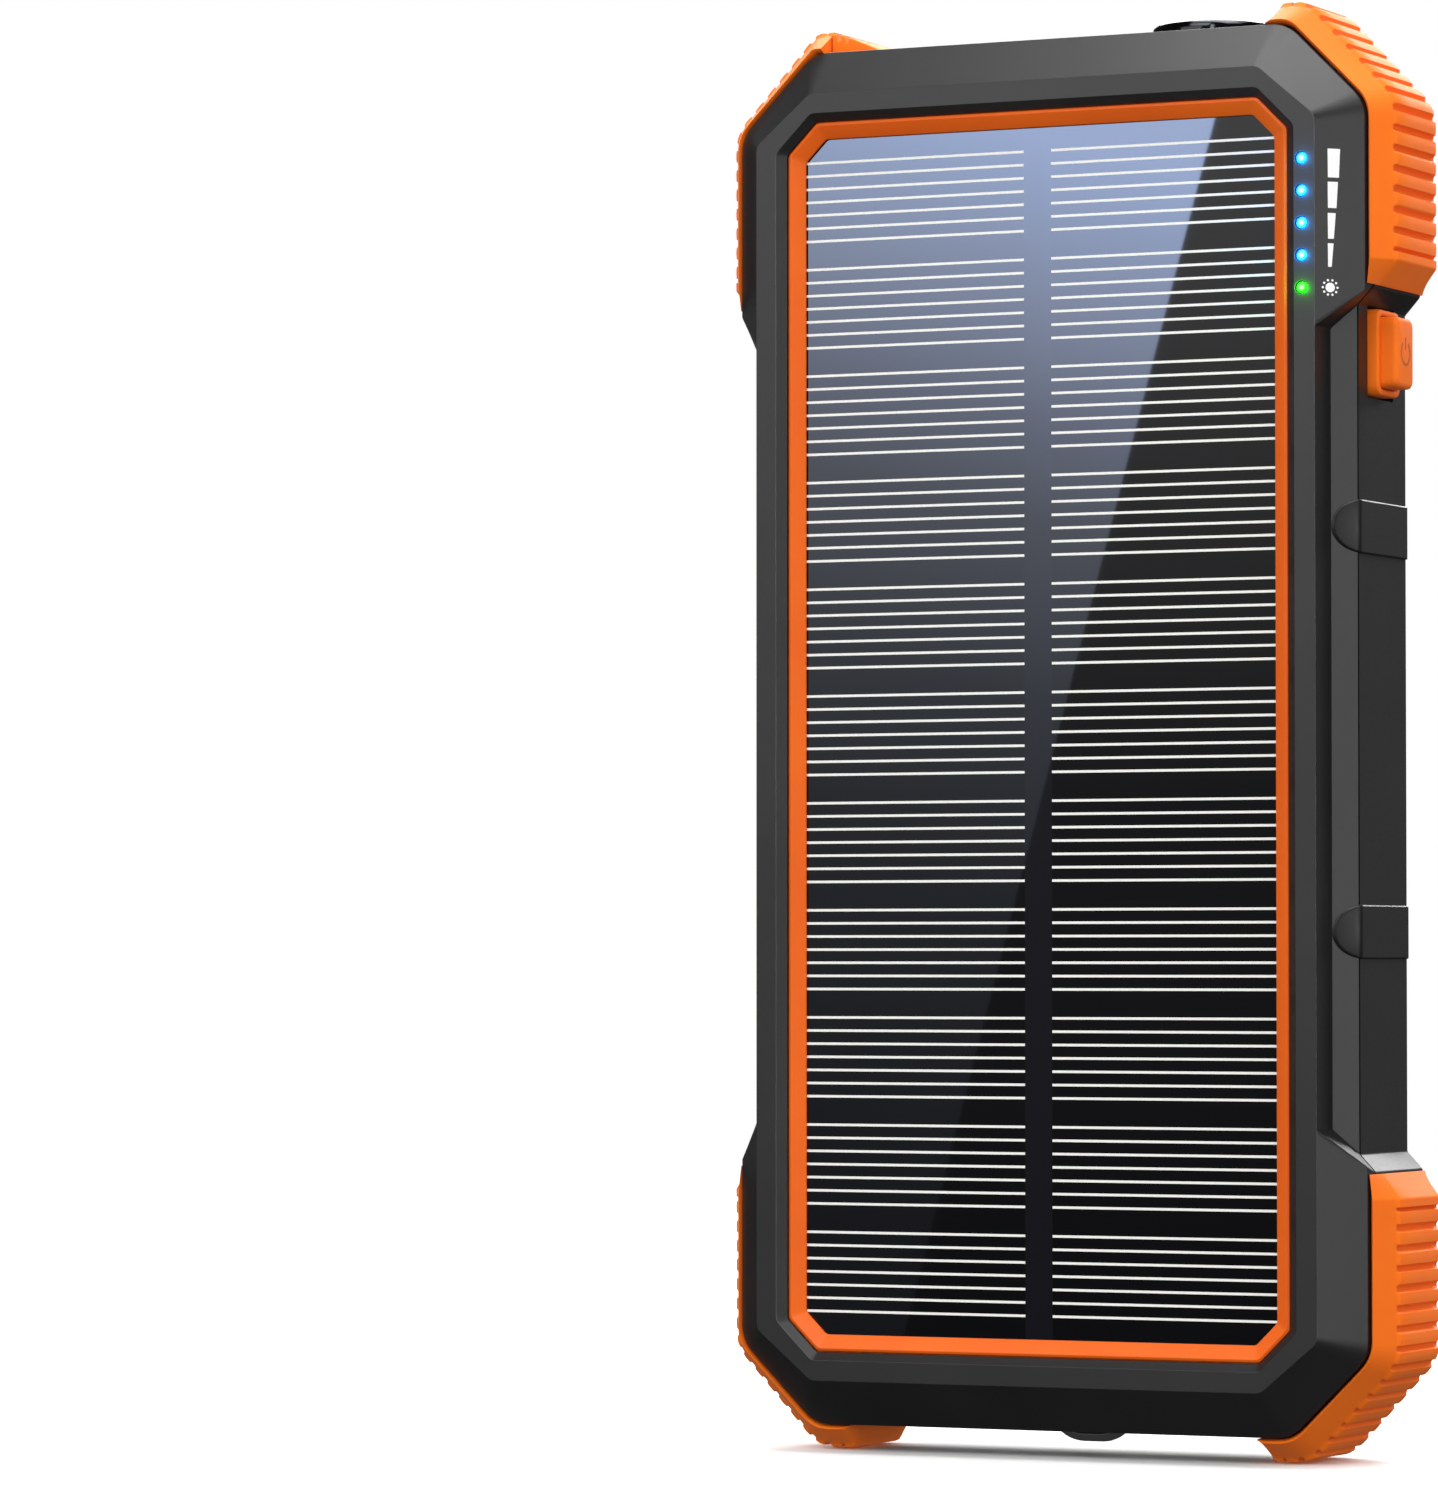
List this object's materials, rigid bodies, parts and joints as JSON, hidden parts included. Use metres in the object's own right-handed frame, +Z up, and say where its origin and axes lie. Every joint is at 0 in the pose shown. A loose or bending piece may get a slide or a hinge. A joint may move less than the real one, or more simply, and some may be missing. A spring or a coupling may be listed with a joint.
{
  "type": "solar phone charger",
  "caption": "Rugged pocket power bank with a front solar panel, ribbed corner bumpers, a flashlight and rubber port flap on top, a side button, a side compass and a pull-out hanging ring.",
  "frame": {"origin": "middle of the bottom of the bounding box, between the bottom bumpers the charger stands on", "axes": "+Z up along the long side towards the flashlight end, -Y out of the solar panel, +X towards the power button side"},
  "size_m": [0.0804, 0.0264, 0.16],
  "materials": {
    "case": "satin moulded",
    "orange_rubber": "satin moulded",
    "orange_trim": "satin moulded",
    "panel": "laminated",
    "clear": "clear polished",
    "chrome": "polished",
    "steel": "plated",
    "board": "solder mask",
    "foil": "satin foil",
    "foam": "closed cell",
    "copper": "enamelled wire",
    "ferrite": "sheet",
    "dial": "printed"
  },
  "bodies": {
    "case": {"front_shell": "case", "back_shell": "case", "flashlight_plate": "case", "compass_housing": "case", "charging_pad": "case", "panel_frame": "orange_trim", "button_surround": "orange_rubber", "bumper_top_left": "orange_rubber", "bumper_top_right": "orange_rubber", "bumper_bottom_left": "orange_rubber", "bumper_bottom_right": "orange_rubber", "panel_cover": "clear", "compass_lens": "clear", "flashlight_lens": "clear", "front_light_pipe": "clear", "rear_light_pipe": "clear", "solar_panel": "panel", "flashlight_bezel": "chrome", "flashlight_reflector": "chrome", "compass_pin": "steel", "tact_switch": "steel", "usb_a_socket_left": "steel", "usb_a_socket_right": "steel", "usb_c_socket": "steel", "micro_usb_socket": "steel", "main_board": "board", "flashlight_led": "board", "battery_cell_front": "foil", "battery_cell_back": "foil", "battery_foam": "foam", "wireless_coil": "copper", "ferrite_sheet": "ferrite", "case_screw_1": "steel", "case_screw_2": "steel", "case_screw_3": "steel", "case_screw_4": "steel", "case_screw_5": "steel", "case_screw_6": "steel", "case_screw_7": "steel", "case_screw_8": "steel", "case_screw_9": "steel", "case_screw_10": "steel", "lamp_screw_1": "chrome", "lamp_screw_2": "chrome", "lamp_screw_3": "chrome", "lamp_screw_4": "chrome", "board_screw_1": "steel", "board_screw_2": "steel", "board_screw_3": "steel"},
    "port_flap": {"port_flap": "orange_rubber"},
    "power_button": {"power_button": "orange_rubber"},
    "hanging_ring": {"hanging_ring": "chrome"},
    "compass_card": {"compass_card": "dial"}
  },
  "joints": [
    {"name": "flap_hinge", "type": "hinge", "parent": "case", "child": "port_flap", "pos_m": [-0.0277, 0, 0.15975], "axis": [0, -1, 0], "range_deg": [0, 110]},
    {"name": "button_press", "type": "slide", "parent": "case", "child": "power_button", "axis": [-1, 0, 0], "range_m": [0, 0.0006], "stiffness_N_per_m": 2000},
    {"name": "ring_pull", "type": "slide", "parent": "case", "child": "hanging_ring", "axis": [0, 0, -1], "range_m": [0, 0.009]},
    {"name": "compass_turn", "type": "hinge", "parent": "case", "child": "compass_card", "pos_m": [-0.034, 0.0005, 0.115], "axis": [1, 0, 0], "continuous": true}
  ]
}
